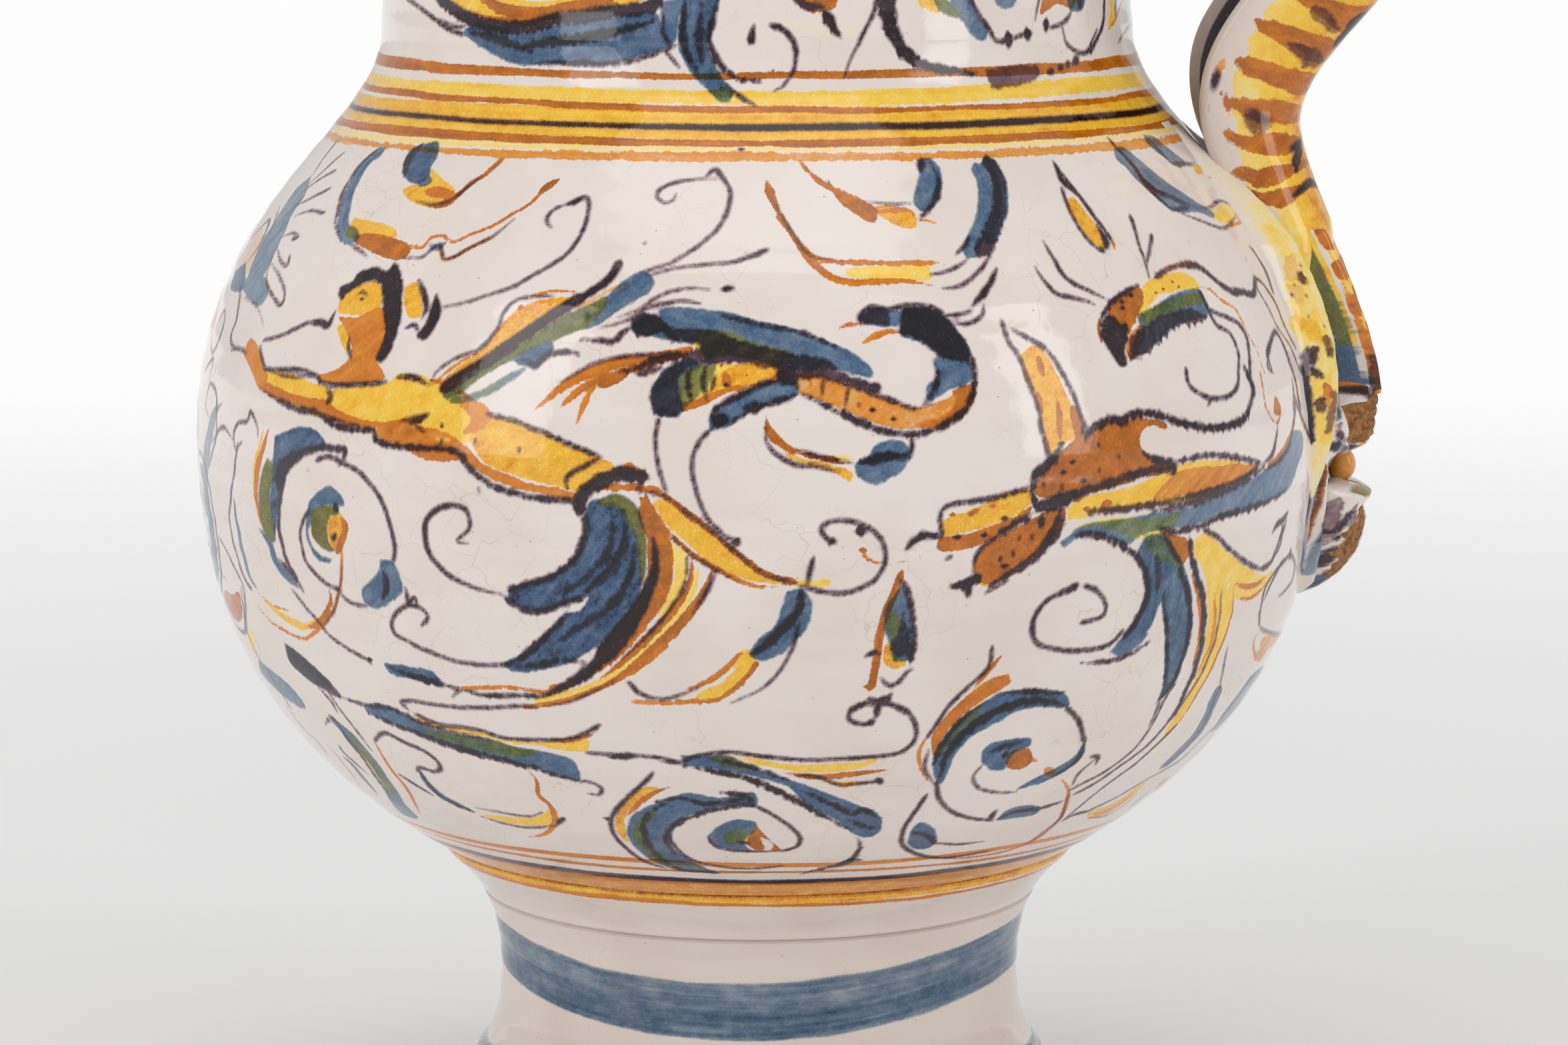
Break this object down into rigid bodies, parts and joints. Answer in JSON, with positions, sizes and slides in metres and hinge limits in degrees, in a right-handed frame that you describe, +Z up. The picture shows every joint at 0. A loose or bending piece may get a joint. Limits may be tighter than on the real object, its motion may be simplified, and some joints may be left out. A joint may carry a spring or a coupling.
{
  "type": "jug",
  "caption": "Tin-glazed earthenware jug with an ovoid body on a spreading foot, wide neck with pinched spout, and a channelled handle ending in a grotesque mask.",
  "frame": {"origin": "on the table, under the middle of the whole jug, handle included", "axes": "+Z up, +X towards the handle, -X towards the spout"},
  "size_m": [0.2098, 0.1908, 0.2652],
  "materials": {
    "painted_glaze": "glossy white tin glaze painted in blue, orange, yellow and manganese brown",
    "tin_glaze_foot": "glossy pinkish white tin glaze with a blue band",
    "banded_glaze": "glossy glaze with painted ochre and yellow bands",
    "striped_glaze": "glossy yellow glaze with orange-brown stripes",
    "mask_glaze": "glossy polychrome glaze, chipped to the earthenware in places"
  },
  "bodies": {
    "root": {"foot": "tin_glaze_foot", "stem": "tin_glaze_foot", "collar_ring": "banded_glaze", "belly": "painted_glaze", "neck": "painted_glaze", "pouring_lip": "painted_glaze", "handle": "striped_glaze", "mask_face": "mask_glaze", "mask_leaf_near": "mask_glaze", "mask_leaf_far": "mask_glaze", "forehead_crest": "striped_glaze", "mask_nose": "mask_glaze", "mask_chin": "mask_glaze", "mask_tongue": "mask_glaze"}
  },
  "joints": []
}
